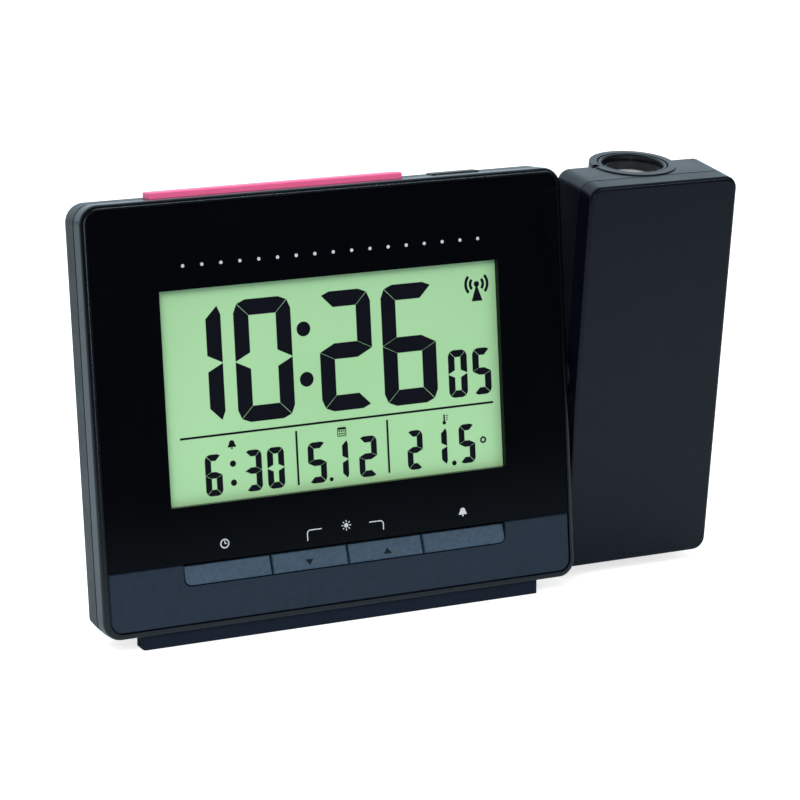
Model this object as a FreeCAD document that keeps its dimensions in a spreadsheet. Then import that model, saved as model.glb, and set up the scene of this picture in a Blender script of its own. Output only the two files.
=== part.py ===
import FreeCAD, Part
import math
import os

import Sketcher
from FreeCAD import Placement, Rotation, Vector

# A projection alarm clock: a flat case that leans back on a base, with a projector arm that turns beside it.
# The origin is the middle of the base's underside, +Z is up, the face looks towards -Y and the arm is at +X.
# The case's pieces are drawn square to its face: X across, Y into the case from its front plane and Z up
# the face.
# The arm's pieces are drawn from its pivot: X as above, Y from front to back, Z along the arm.

PARTS_FOLDER = "parts"

SIZES = {
    # case, seen square to the face
    "case_width": 122.8,
    "case_height": 100.7,
    "case_corner": 4.5,
    "case_wall": 2.0,
    "lean_back": 6.1,
    "front_depth": 5.0,
    "slab_depth": 12.1,
    "bottom_rise": 4.3,
    "rear_round": 2.0,
    "rim_width": 1.45,
    "rim_round": 1.2,
    "seam_chamfer": 0.3,
    # sheets let into the face
    "panel_inset": 0.2,
    "strip_inset": 0.15,
    "strip_height": 15.8,
    "strip_chamfer": 0.3,
    "seat_depth": 1.9,
    "plate_thick": 2.0,
    "panel_fit": 0.15,
    "window_width": 86.8,
    "window_top_drop": 21.0,
    "window_bottom": 29.3,
    # display
    "glass_margin": 2.6,
    "glass_thick": 2.2,
    "glass_fit": 0.2,
    "frame_wall": 0.9,
    "guide_margin": 0.4,
    "guide_thick": 3.0,
    "guide_fit": 0.15,
    "connector_thick": 1.6,
    "connector_half": 42.0,
    "shelf": 2.4,
    # keys in the strip
    "key_row_left": -41.0,
    "key_row_width": 83.2,
    "key_row_bottom": 10.8,
    "key_row_top": 15.3,
    "outer_key_width": 21.7,
    "key_gap": 0.5,
    "key_play": 0.3,
    "key_sink": 0.9,
    "key_proud": 0.4,
    "key_lip": 1.0,
    "key_round": 0.35,
    "key_corner": 1.6,
    "key_travel": 0.6,
    "rest_gap": 0.1,
    # keys in the top
    "snooze_left": -42.8,
    "snooze_length": 64.6,
    "snooze_proud": 1.35,
    "snooze_travel": 0.8,
    "light_key_left": 29.6,
    "light_key_length": 12.7,
    "light_key_proud": 0.35,
    "light_key_travel": 0.5,
    "top_key_front": 5.4,
    "top_key_depth": 4.2,
    "top_key_lip": 1.5,
    "top_key_overhang": 0.8,
    "top_key_leg": 1.5,
    "top_key_corner": 0.8,
    # circuit board
    "board_front": 7.9,
    "board_thick": 1.6,
    "board_half": 49.0,
    "board_bottom": 8.7,
    "board_top_drop": 13.0,
    "post_across": 40.0,
    "post_low": 23.2,
    "post_high_drop": 2.4,
    "post_radius": 2.0,
    "screw_radius": 1.0,
    "screw_fit": 0.1,
    "screw_head": 1.8,
    "screw_head_thick": 1.2,
    "screw_clear": 1.0,
    "switch_width": 6.0,
    "switch_thick": 1.5,
    "plunger_radius": 1.2,
    "plunger_length": 0.7,
    # rear housing
    "house_half": 48.0,
    "house_floor": 3.2,
    "house_depth": 36.0,
    "house_shoulder": 48.7,
    "house_top_drop": 10.0,
    "house_top_depth": 20.0,
    "house_round": 4.0,
    "boss_across": 53.0,
    "boss_low": 14.7,
    "boss_high_drop": 10.0,
    "boss_radius": 2.8,
    "case_screw_head": 2.6,
    "case_screw_sink": 1.0,
    # battery bay and its door
    "cell_radius": 7.25,
    "cell_length": 50.5,
    "cell_nub_radius": 2.75,
    "cell_nub_length": 1.3,
    "cell_play": 0.3,
    "spring_room": 5.0,
    "contact_thick": 0.5,
    "spring_radius": 3.2,
    "spring_wire": 0.35,
    "spring_turns": 4.0,
    "bay_bottom": 11.6,
    "tub_wall": 1.5,
    "door_thick": 1.8,
    "door_lap": 2.1,
    "door_fit": 0.15,
    "door_pin_radius": 0.5,
    "door_pin_length": 1.2,
    "door_pin_fit": 0.06,
    "door_grip_width": 12.0,
    "door_grip_height": 3.0,
    "door_grip_depth": 0.7,
    "door_grip_corner": 0.8,
    # adapter socket
    "jack_across": 39.0,
    "jack_height": 21.7,
    "jack_nose_radius": 4.0,
    "jack_bore_radius": 3.1,
    "jack_pin_radius": 1.0,
    "jack_pin_recess": 1.0,
    "jack_bore_length": 9.0,
    "jack_body_half": 4.8,
    "jack_body_length": 12.5,
    "jack_fit": 0.15,
    # sounder, chip and aerial
    "sounder_across": -30.0,
    "sounder_height": 58.7,
    "sounder_radius": 8.0,
    "sounder_thick": 4.5,
    "sounder_port_depth": 1.0,
    "sound_slot_width": 1.2,
    "sound_slot_step": 2.6,
    "chip_across": 14.0,
    "chip_height": 52.7,
    "chip_half": 7.0,
    "chip_thick": 1.6,
    "aerial_depth": 16.2,
    "aerial_height": 71.7,
    "aerial_radius": 4.0,
    "aerial_half": 26.0,
    "coil_radius": 5.4,
    "coil_length": 11.0,
    "clip_across": 18.0,
    "clip_thick": 4.0,
    "clip_wall": 1.4,
    # base
    "base_height": 3.6,
    "base_setback": 1.57,
    "base_depth": 38.0,
    "base_half": 51.5,
    "base_bar": 4.5,
    "base_rear_half": 36.0,
    "base_round": 0.8,
    "pad_radius": 4.0,
    "pad_depth": 0.8,
    "pad_inset": 7.5,
    "base_screw_across": 14.0,
    "base_screw_depth": 26.0,
    # pivot of the arm
    "pivot_depth": 6.1,
    "pivot_drop": 0.45,
    "pivot_radius": 3.2,
    "pivot_running_fit": 0.06,
    "pivot_bore": 1.7,
    "bush_radius": 4.1,
    "bush_reach": 1.0,
    "bush_flange_radius": 4.9,
    "bush_flange_thick": 0.4,
    "washer_thick": 0.4,
    "pivot_flange_radius": 5.2,
    "pivot_flange_thick": 1.6,
    "pivot_neck_radius": 2.5,
    "pivot_reach": 6.2,
    "clip_ring_radius": 3.7,
    "clip_ring_thick": 0.8,
    # projector arm
    "arm_gap": 1.0,
    "arm_width": 40.7,
    "arm_front": 8.6,
    "arm_depth": 17.9,
    "arm_shorter": 2.3,
    "arm_seam": 5.9,
    "arm_corner": 3.2,
    "arm_edge_round": 1.0,
    "arm_back_round": 1.2,
    "arm_wall": 1.8,
    "arm_lean": 6.8,
    "arm_screw_across": 14.0,
    "arm_screw_end": 7.2,
    "arm_post_radius": 2.6,
    # lens barrel at the arm's top
    "lens_setback": 16.7,
    "lens_across": 0.1,
    "barrel_radius": 10.7,
    "barrel_length": 37.0,
    "barrel_rim": 0.3,
    "barrel_rim_round": 0.2,
    "barrel_foot_round": 3.0,
    "barrel_floor": 2.0,
    "barrel_cavity": 9.6,
    "barrel_neck": 7.0,
    "barrel_mark_long": 1.6,
    "barrel_mark_wide": 1.3,
    "barrel_mark_deep": 0.7,
    "focus_outer": 8.7,
    "focus_inner": 7.6,
    "focus_running_fit": 0.07,
    "focus_lip": 0.6,
    "focus_lip_thick": 1.2,
    "focus_mark": 0.5,
    "cell_wall": 0.8,
    "cell_top_drop": 1.3,
    "cell_height": 6.5,
    "lens_radius": 6.3,
    "lens_edge": 2.4,
    "lens_bulge": 1.1,
    # lamp and slide under the lens
    "lamp_board_thick": 1.6,
    "lamp_board_radius": 8.8,
    "lamp_radius": 2.5,
    "lamp_height": 6.0,
    "optics_outer": 8.6,
    "optics_inner": 7.2,
    "optics_height": 20.0,
    "condenser_start": 9.0,
    "condenser_ledge": 1.0,
    "condenser_edge": 1.6,
    "condenser_bulge": 1.6,
    "slide_half": 4.9,
    "slide_thick": 1.8,
    "slide_start": 17.5,
}

doc = FreeCAD.newDocument("projection_alarm_clock")
sheet = doc.addObject("Spreadsheet::Sheet", "size")
pieces = []


class Size:
    """A length or angle: its value, and the sheet expression that works the same value out."""

    def __init__(self, value, text):
        self.value = float(value)
        self.text = text

    def __float__(self):
        return self.value

    def __neg__(self):
        return Size(-self.value, f"-({self.text})")

    def __add__(self, other):
        other = sized(other)
        return Size(self.value + other.value, f"({self.text} + {other.text})")

    def __sub__(self, other):
        other = sized(other)
        return Size(self.value - other.value, f"({self.text} - ({other.text}))")

    def __mul__(self, other):
        other = sized(other)
        return Size(self.value * other.value, f"({self.text}) * ({other.text})")

    def __truediv__(self, other):
        other = sized(other)
        return Size(self.value / other.value, f"({self.text}) / ({other.text})")

    __radd__ = __add__
    __rmul__ = __mul__

    def __rsub__(self, other):
        return sized(other) - self


def sized(number):
    """A plain number as a Size."""
    return number if isinstance(number, Size) else Size(number, repr(float(number)))


def sine(angle):
    return Size(math.sin(math.radians(angle.value)), f"sin(({angle.text}) * 1deg)")


def cosine(angle):
    return Size(math.cos(math.radians(angle.value)), f"cos(({angle.text}) * 1deg)")


def root(size):
    return Size(math.sqrt(size.value), f"sqrt({size.text})")


class Sizes:
    """The sheet's sizes by name."""


s = Sizes()
for row, (alias, value) in enumerate(SIZES.items(), start=1):
    sheet.set(f"A{row}", alias)
    sheet.set(f"B{row}", str(value))
    sheet.setAlias(f"B{row}", alias)
    setattr(s, alias, Size(value, f"size.{alias}"))
doc.recompute()


def bind(thing, path, size):
    """Ties a property of an object to the sheet."""
    thing.setExpression(path, sized(size).text)


# Outlines. Each returns a function that draws itself in a sketch, tied to the sheet.


def hold_point(sketch, line, end, x, y):
    """Fixes one point of a sketch at x and y from the sketch's origin."""
    for kind, size in (("DistanceX", sized(x)), ("DistanceY", sized(y))):
        index = sketch.addConstraint(Sketcher.Constraint(kind, -1, 1, line, end, size.value))
        bind(sketch, f"Constraints[{index}]", size)


def polygon(*points):
    def draw(sketch):
        corners = [Vector(float(sized(x)), float(sized(y)), 0) for x, y in points]
        first = len(sketch.Geometry)
        count = len(corners)
        for corner in range(count):
            sketch.addGeometry(Part.LineSegment(corners[corner], corners[(corner + 1) % count]))
        for corner in range(count):
            following = first + (corner + 1) % count
            sketch.addConstraint(Sketcher.Constraint("Coincident", first + corner, 2, following, 1))
        for corner, (x, y) in enumerate(points):
            hold_point(sketch, first + corner, 1, x, y)

    return draw


def rectangle(x0, x1, y0, y1):
    return polygon((x0, y0), (x1, y0), (x1, y1), (x0, y1))


def circle(x, y, radius):
    def draw(sketch):
        centre = Vector(float(sized(x)), float(sized(y)), 0)
        line = sketch.addGeometry(Part.Circle(centre, Vector(0, 0, 1), float(sized(radius))))
        hold_point(sketch, line, 3, x, y)
        index = sketch.addConstraint(Sketcher.Constraint("Radius", line, float(sized(radius))))
        bind(sketch, f"Constraints[{index}]", radius)

    return draw


def rounded(x0, x1, y0, y1, radius):
    """A rectangle with its four corners rounded, as lines and arcs that stay tangent."""
    x0, x1, y0, y1 = (sized(size) for size in (x0, x1, y0, y1))
    left, right, low, high = x0 + radius, x1 - radius, y0 + radius, y1 - radius
    centres = ((right, low), (right, high), (left, high), (left, low))

    def draw(sketch):
        reach = radius.value
        arcs = []
        for quarter, (x, y) in enumerate(centres):
            start = math.pi * (quarter / 2 - 0.5)
            ring = Part.Circle(Vector(x.value, y.value, 0), Vector(0, 0, 1), reach)
            arcs.append(sketch.addGeometry(Part.ArcOfCircle(ring, start, start + math.pi / 2)))
        for quarter in range(4):
            following = arcs[(quarter + 1) % 4]
            tail = sketch.Geometry[arcs[quarter]].EndPoint
            head = sketch.Geometry[following].StartPoint
            side = sketch.addGeometry(Part.LineSegment(tail, head))
            sketch.addConstraint(Sketcher.Constraint("Tangent", arcs[quarter], 2, side, 1))
            sketch.addConstraint(Sketcher.Constraint("Tangent", side, 2, following, 1))
        for arc, (x, y) in zip(arcs, centres):
            hold_point(sketch, arc, 3, x, y)
            index = sketch.addConstraint(Sketcher.Constraint("Radius", arc, reach))
            bind(sketch, f"Constraints[{index}]", radius)

    return draw


# Features of a body. Every pad and pocket runs from start to end along the plane's positive world axis.


def new_body(label):
    return doc.addObject("PartDesign::Body", label)


def outline_on(body, plane, start, draw):
    sketch = body.newObject("Sketcher::SketchObject", "outline")
    planes = [feature for feature in body.Origin.OriginFeatures if feature.Role == plane + "_Plane"]
    sketch.AttachmentSupport = [(planes[0], "")]
    sketch.MapMode = "FlatFace"
    bind(sketch, "AttachmentOffset.Base.z", -sized(start) if plane == "XZ" else sized(start))
    draw(sketch)
    return sketch


def pad(body, plane, start, end, draw):
    feature = body.newObject("PartDesign::Pad", "pad")
    feature.Profile = outline_on(body, plane, start, draw)
    feature.Reversed = plane == "XZ"
    bind(feature, "Length", sized(end) - start)
    body.Tip = feature


def pocket(body, plane, start, end, draw):
    doc.recompute()
    before = body.Tip.Shape.Volume
    feature = body.newObject("PartDesign::Pocket", "pocket")
    feature.Profile = outline_on(body, plane, start, draw)
    feature.Reversed = plane != "XZ"
    bind(feature, "Length", sized(end) - start)
    body.Tip = feature
    doc.recompute()
    if feature.Shape.isNull() or feature.Shape.Volume > before - 0.01:
        raise RuntimeError(f"a pocket of {body.Label} cuts nothing")


def soften(body, kind, size, pick):
    """Fillets or chamfers the edges of the body so far that pick chooses."""
    doc.recompute()
    base = body.Tip
    chosen = [f"Edge{index}" for index, edge in enumerate(base.Shape.Edges, start=1) if pick(edge)]
    if not chosen:
        raise RuntimeError(f"no edge of {body.Label} to soften")
    feature = body.newObject(f"PartDesign::{kind}", kind.lower())
    feature.Base = (base, chosen)
    bind(feature, "Radius" if kind == "Fillet" else "Size", size)
    body.Tip = feature


NEAR = 0.01


def lies_at(axis, size):
    """Chooses the edges that lie wholly at one place along an axis."""

    def pick(edge):
        low = getattr(edge.BoundBox, axis + "Min")
        high = getattr(edge.BoundBox, axis + "Max")
        return abs(low - float(size)) < NEAR and abs(high - float(size)) < NEAR

    return pick


def runs_along(axis):
    """Chooses the edges that run straight along an axis."""

    def pick(edge):
        spans = {name: getattr(edge.BoundBox, name + "Length") for name in "XYZ"}
        return spans.pop(axis) > NEAR and max(spans.values()) < NEAR

    return pick


# Plain solids, and the ways to put them together.


def block(x0, x1, y0, y1, z0, z1):
    box = doc.addObject("Part::Box", "block")
    for path, low, high in (("Length", x0, x1), ("Width", y0, y1), ("Height", z0, z1)):
        bind(box, path, sized(high) - low)
    for path, low in (("x", x0), ("y", y0), ("z", z0)):
        bind(box, f"Placement.Base.{path}", low)
    return box


AXES = {"X": Vector(1, 0, 0), "Y": Vector(0, 1, 0), "Z": Vector(0, 0, 1)}


def rod(axis, across, start, end, radius):
    """A cylinder along an axis; across holds its other two coordinates in X, Y, Z order."""
    shape = doc.addObject("Part::Cylinder", "rod")
    bind(shape, "Radius", radius)
    bind(shape, "Height", sized(end) - start)
    shape.Placement = Placement(Vector(), Rotation(AXES["Z"], AXES[axis]))
    names = [name for name in "XYZ" if name != axis]
    places = dict(zip(names, across))
    places[axis] = start
    for name, place in places.items():
        bind(shape, f"Placement.Base.{name.lower()}", place)
    return shape


def tube(axis, across, start, end, outer, inner):
    return cut(rod(axis, across, start, end, outer), rod(axis, across, start - NEAR, end + NEAR, inner))


def fuse(*shapes):
    joined = doc.addObject("Part::MultiFuse", "fuse")
    joined.Shapes = list(shapes)
    return joined


def cut(base, *tools):
    left = doc.addObject("Part::Cut", "cut")
    left.Base = base
    left.Tool = tools[0] if len(tools) == 1 else fuse(*tools)
    return left


def group(*shapes):
    together = doc.addObject("Part::Compound", "group")
    together.Links = list(shapes)
    return together


def piece(label, shape, frame):
    """Names a finished piece and puts it in its frame."""
    shape.Label = label
    frame(shape)
    pieces.append(shape)
    return shape


# The three frames: the case leans back, the arm leans forward on its pivot, the base stands level.

case_y = -(s.base_depth / 2 + s.base_setback)


def in_case(shape):
    shape.Placement = Placement(Vector(), Rotation(Vector(-1, 0, 0), s.lean_back.value))
    bind(shape, "Placement.Base.y", case_y)
    bind(shape, "Placement.Base.z", s.base_height)
    bind(shape, "Placement.Rotation.Angle", s.lean_back)


def in_arm(shape):
    shape.Placement = Placement(Vector(), Rotation(Vector(1, 0, 0), s.arm_lean.value))
    rise = pivot_height * cosine(s.lean_back) - s.pivot_depth * sine(s.lean_back)
    back = pivot_height * sine(s.lean_back) + s.pivot_depth * cosine(s.lean_back)
    bind(shape, "Placement.Base.y", case_y + back)
    bind(shape, "Placement.Base.z", s.base_height + rise)
    bind(shape, "Placement.Rotation.Angle", s.arm_lean)


def on_base(shape):
    bind(shape, "Placement.Base.y", case_y)


# Places that several pieces share.

half_width = s.case_width / 2
inner_half = half_width - s.case_wall
slope = s.bottom_rise / s.slab_depth
lean_slope = sine(s.lean_back) / cosine(s.lean_back)
floor = s.bottom_rise + s.case_wall
ceiling = s.case_height - s.case_wall
board_top = s.case_height - s.board_top_drop
post_high = board_top - s.post_high_drop
house_top = s.case_height - s.house_top_drop
boss_high = s.case_height - s.boss_high_drop
pivot_height = s.case_height / 2 - s.pivot_drop
arm_half = (s.case_height - s.arm_shorter) / 2
arm_screw_along = arm_half - s.arm_screw_end
slab_inner = s.slab_depth - s.case_wall
plate_back = s.seat_depth + s.plate_thick
sheet_half = half_width - s.rim_width - s.panel_fit
sheet_bottom = s.rim_width + s.panel_fit
sheet_top = s.case_height - s.rim_width - s.panel_fit
sheet_corner = s.case_corner - s.rim_width - s.panel_fit
window_half = s.window_width / 2
window_top = s.case_height - s.window_top_drop
glass_half = window_half + s.glass_margin
glass_bottom = s.window_bottom - s.glass_margin
glass_top = window_top + s.glass_margin
glass_front = s.seat_depth + s.rest_gap
glass_back = glass_front + s.glass_thick
board_back = s.board_front + s.board_thick
key_row_right = s.key_row_left + s.key_row_width
notch_left = s.key_row_left - s.key_play
notch_right = key_row_right + s.key_play
notch_bottom = s.key_row_bottom - s.key_play
board_posts = [(side * s.post_across, height) for side in (-1, 1) for height in (s.post_low, post_high)]
case_bosses = [(side * s.boss_across, height) for side in (-1, 1) for height in (s.boss_low, boss_high)]
boss_end = slab_inner - s.rest_gap
pilot = s.screw_radius + s.screw_fit
pivot_place = (s.pivot_depth, pivot_height)
past = 1.0


def cut_below_slope(body, front, back):
    """Takes away what lies under the case's bottom, which rises towards the back."""
    end = back + past
    outline = polygon((front, -past), (end, -past), (end, end * slope), (front, front * slope))
    pocket(body, "YZ", -half_width - past, half_width + past, outline)


def make_front_case():
    body = new_body("front_case")
    pad(body, "XZ", 0, s.front_depth, rounded(-half_width, half_width, 0, s.case_height, s.case_corner))
    soften(body, "Fillet", s.rim_round, lies_at("Y", 0))
    soften(body, "Chamfer", s.seam_chamfer, lies_at("Y", s.front_depth))
    inner_corner = s.case_corner - s.case_wall
    hollow = rounded(-inner_half, inner_half, floor, ceiling, inner_corner)
    pocket(body, "XZ", plate_back, s.front_depth + past, hollow)
    for across, height in case_bosses:
        pad(body, "XZ", plate_back - NEAR, boss_end, circle(across, height, s.boss_radius))
    for across, height in board_posts:
        pad(body, "XZ", plate_back - NEAR, s.board_front, circle(across, height, s.post_radius))
    recess_half = half_width - s.rim_width
    recess_top = s.case_height - s.rim_width
    recess = rounded(-recess_half, recess_half, s.rim_width, recess_top, s.case_corner - s.rim_width)
    pocket(body, "XZ", -past, s.seat_depth, recess)
    fit = s.glass_fit
    display = rectangle(-glass_half - fit, glass_half + fit, glass_bottom - fit, glass_top + fit)
    pocket(body, "XZ", s.seat_depth - past, plate_back + past, display)
    keys = rectangle(notch_left, notch_right, notch_bottom, s.key_row_top + s.key_play)
    pocket(body, "XZ", s.seat_depth - past, plate_back + past, keys)
    reach = s.bush_flange_radius + s.screw_clear
    room_left = inner_half - s.pivot_reach
    pivot_room = rectangle(room_left, inner_half, pivot_height - reach, pivot_height + reach)
    pocket(body, "XZ", s.seat_depth - past, plate_back + past, pivot_room)
    bush_hole = circle(*pivot_place, s.bush_radius + s.panel_fit)
    pocket(body, "YZ", inner_half - past, half_width + past, bush_hole)
    for across, height in case_bosses:
        pocket(body, "XZ", s.front_depth, boss_end + past, circle(across, height, pilot))
    for across, height in board_posts:
        pocket(body, "XZ", plate_back, s.board_front + past, circle(across, height, pilot))
    cut_below_slope(body, sized(0), s.front_depth)
    return piece("front_case", body, in_case)


def sheet_blank(label, inset):
    """The full outline of the sheets let into the face, from which each keeps its part."""
    body = new_body(label)
    outline = rounded(-sheet_half, sheet_half, sheet_bottom, sheet_top, sheet_corner)
    pad(body, "XZ", inset, s.seat_depth, outline)
    return body


def make_front_panel():
    body = sheet_blank("front_panel", s.panel_inset)
    below = rectangle(-half_width, half_width, -past, s.strip_height + s.panel_fit)
    pocket(body, "XZ", 0, s.seat_depth + past, below)
    window = rectangle(-window_half, window_half, s.window_bottom, window_top)
    pocket(body, "XZ", 0, s.seat_depth + past, window)
    return piece("front_panel", body, in_case)


def make_control_strip():
    body = sheet_blank("control_strip", s.strip_inset)
    above = rectangle(-half_width, half_width, s.strip_height, s.case_height)
    pocket(body, "XZ", 0, s.seat_depth + past, above)
    soften(body, "Chamfer", s.strip_chamfer, lies_at("Y", s.strip_inset))
    notch_top = s.strip_height + s.case_corner
    notch = rounded(notch_left, notch_right, notch_bottom, notch_top, s.key_corner + s.key_play)
    pocket(body, "XZ", 0, s.seat_depth + past, notch)
    return piece("control_strip", body, in_case)


def make_key(label, left, right, outer_side):
    """A key of the strip: a sloped face in front of the plate and a lip behind it; an outer foot is round."""
    body = new_body(label)
    lip_front = plate_back + s.rest_gap
    lip_back = lip_front + s.key_lip
    low = s.key_row_bottom
    high = s.key_row_top
    outline = polygon(
        (s.key_sink, high),
        (-s.key_proud, low),
        (lip_front, low),
        (lip_front, low - s.key_lip),
        (lip_back, low - s.key_lip),
        (lip_back, high + s.key_lip),
        (lip_front, high + s.key_lip),
        (lip_front, high),
    )
    pad(body, "YZ", left, right, outline)
    if outer_side is not None:

        def outer_foot(edge):
            return runs_along("Y")(edge) and lies_at("X", outer_side)(edge) and lies_at("Z", low)(edge)

        soften(body, "Fillet", s.key_corner, outer_foot)
    soften(body, "Fillet", s.key_round, lambda edge: edge.BoundBox.YMax < float(s.key_sink) + NEAR)
    return piece(label, body, in_case)


def make_keys():
    inner_key_width = (s.key_row_width - 2 * s.outer_key_width - 3 * s.key_gap) / 2
    widths = {
        "mode_key": s.outer_key_width,
        "dim_down_key": inner_key_width,
        "dim_up_key": inner_key_width,
        "alarm_key": s.outer_key_width,
    }
    left = s.key_row_left
    outer_sides = {"mode_key": s.key_row_left, "alarm_key": key_row_right}
    centres = []
    for label, width in widths.items():
        make_key(label, left, left + width, outer_sides.get(label))
        centres.append(left + width / 2)
        left = left + width + s.key_gap
    return centres


def make_key_switches(centres):
    """Push switches on the board behind the keys, a key's travel away from them."""
    middle = (s.key_row_bottom + s.key_row_top) / 2
    tip = plate_back + s.rest_gap + s.key_lip + s.key_travel + s.rest_gap
    switches = []
    for centre in centres:
        half = s.switch_width / 2
        front = tip + s.plunger_length
        body = block(centre - half, centre + half, front, s.board_front, middle - half, middle + half)
        plunger = rod("Y", (centre, middle), tip, tip + s.plunger_length + NEAR, s.plunger_radius)
        switches.append(fuse(body, plunger))
    return piece("key_switches", group(*switches), in_case)


def make_top_key(label, left, length, proud, travel):
    """A key of the top: a bar through the case's top wall, a lip under the wall and a leg over its switch."""
    body = new_body(label)
    right = left + length
    back = s.top_key_front + s.top_key_depth
    lip_top = ceiling - s.rest_gap
    lip_bottom = lip_top - s.top_key_lip
    bar = rounded(left, right, s.top_key_front, back, s.top_key_corner)
    pad(body, "XY", lip_bottom, s.case_height + proud, bar)
    soften(body, "Fillet", s.key_round, lies_at("Z", s.case_height + proud))
    over = s.top_key_overhang
    lip = rectangle(left - over, right + over, s.top_key_front - over, slab_inner - s.key_play)
    pad(body, "XY", lip_bottom, lip_top, lip)
    middle = left + length / 2
    leg = circle(middle, s.top_key_front + s.top_key_depth / 2, s.top_key_leg)
    pad(body, "XY", board_top + switch_stack() + travel + s.rest_gap, lip_bottom + NEAR, leg)
    return piece(label, body, in_case)


def switch_stack():
    """Height of a top switch with its plunger, over the board's top edge."""
    return s.rest_gap + s.switch_width / 2 + s.plunger_length


def make_top_switches():
    """Push switches on the board's top edge, under the legs of the top keys."""
    depth = s.top_key_front + s.top_key_depth / 2
    switches = []
    for left, length in ((s.snooze_left, s.snooze_length), (s.light_key_left, s.light_key_length)):
        centre = left + length / 2
        bottom = board_top + s.rest_gap
        top = bottom + s.switch_width / 2
        half = s.switch_width / 2
        front, back = depth - s.switch_thick, depth + s.switch_thick
        body = block(centre - half, centre + half, front, back, bottom, top)
        plunger = rod("Z", (centre, depth), top - NEAR, top + s.plunger_length, s.plunger_radius)
        switches.append(fuse(body, plunger))
    return piece("top_switches", group(*switches), in_case)


def make_display():
    glass = block(-glass_half, glass_half, glass_front, glass_back, glass_bottom, glass_top)
    piece("lcd_glass", group(glass), in_case)

    frame_half = glass_half + s.frame_wall
    frame_bottom = glass_bottom - s.frame_wall
    frame_top = glass_top + s.frame_wall
    frame_front = plate_back + s.rest_gap
    frame_back = s.board_front - s.rest_gap
    guide_half = glass_half - s.frame_wall - s.guide_margin
    guide_bottom = glass_bottom + s.shelf
    guide_top = glass_top - s.frame_wall - s.guide_margin
    body = new_body("display_frame")
    pad(body, "XZ", frame_front, frame_back, rectangle(-frame_half, frame_half, frame_bottom, frame_top))
    fit = s.guide_fit
    seat = rectangle(-glass_half - fit, glass_half + fit, glass_bottom - fit, glass_top + fit)
    pocket(body, "XZ", frame_front - past, glass_back + s.rest_gap, seat)
    well = rectangle(-guide_half - fit, guide_half + fit, guide_bottom - fit, guide_top + fit)
    pocket(body, "XZ", frame_front, frame_back + past, well)
    strip_half = s.connector_half
    strip_bottom = glass_bottom + fit
    strip_top = strip_bottom + s.connector_thick
    slot = rectangle(-strip_half - fit, strip_half + fit, strip_bottom - fit, strip_top + fit)
    pocket(body, "XZ", frame_front, frame_back + past, slot)
    piece("display_frame", body, in_case)

    guide_front = glass_back + s.rest_gap
    guide = block(-guide_half, guide_half, guide_front, guide_front + s.guide_thick, guide_bottom, guide_top)
    piece("light_guide", group(guide), in_case)
    strip = block(-strip_half, strip_half, glass_back, s.board_front, strip_bottom, strip_top)
    piece("display_connector", group(strip), in_case)


def make_main_board():
    body = new_body("main_board")
    outline = rectangle(-s.board_half, s.board_half, s.board_bottom, board_top)
    pad(body, "XZ", s.board_front, board_back, outline)
    for across, height in board_posts:
        pocket(body, "XZ", s.board_front - past, board_back + past, circle(across, height, pilot))
    piece("main_board", body, in_case)

    screws = []
    for across, height in board_posts:
        shank = rod("Y", (across, height), plate_back + s.screw_clear, board_back + NEAR, s.screw_radius)
        head = rod("Y", (across, height), board_back, board_back + s.screw_head_thick, s.screw_head)
        screws.append(fuse(shank, head))
    piece("board_screws", group(*screws), in_case)

    chip_top = board_back + s.chip_thick
    half = s.chip_half
    left = s.chip_across - half
    bottom = s.chip_height - half
    chip = block(left, left + 2 * half, board_back, chip_top, bottom, bottom + 2 * half)
    piece("controller_chip", group(chip), in_case)
    sounder_place = (s.sounder_across, s.sounder_height)
    sounder_back = board_back + s.sounder_thick
    shell = rod("Y", sounder_place, board_back, sounder_back, s.sounder_radius)
    port_front = sounder_back - s.sounder_port_depth
    port = rod("Y", sounder_place, port_front, sounder_back + past, s.plunger_radius)
    piece("sounder", cut(shell, port), in_case)


def make_aerial():
    """The time signal's aerial: a ferrite rod with its coil, in two clips on the board."""
    place = (s.aerial_depth, s.aerial_height)
    ferrite = rod("X", place, -s.aerial_half, s.aerial_half, s.aerial_radius)
    piece("aerial_rod", group(ferrite), in_case)
    coil_start = -s.coil_length / 2
    coil_inner = s.aerial_radius + s.panel_fit
    coil = tube("X", place, coil_start, coil_start + s.coil_length, s.coil_radius, coil_inner)
    piece("aerial_coil", coil, in_case)
    clips = []
    outer = s.aerial_radius + s.clip_wall
    for side in (-1, 1):
        start = side * s.clip_across - s.clip_thick / 2
        low = s.aerial_height - outer
        foot = block(start, start + s.clip_thick, board_back, s.aerial_depth, low, low + 2 * outer)
        collar = rod("X", place, start, start + s.clip_thick, outer)
        hole = rod("X", place, start - past, start + s.clip_thick + past, s.aerial_radius + s.panel_fit)
        clips.append(cut(fuse(foot, collar), hole))
    piece("aerial_clips", group(*clips), in_case)


# Places of the battery bay, its door and the sound slots, in the case's frame.

bay_half = (s.cell_length + s.spring_room) / 2
bay_height = 4 * s.cell_radius + 2 * s.cell_play
bay_top = s.bay_bottom + bay_height
door_inner = s.house_depth - s.door_thick
bay_front = door_inner - s.rest_gap - 2 * s.cell_radius - s.cell_play
door_half = bay_half + s.door_lap
door_bottom = s.bay_bottom - s.tub_wall
door_top = bay_top + s.door_lap
hinge_place = (s.house_depth - s.door_thick / 2, door_bottom + s.door_thick / 2)


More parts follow.
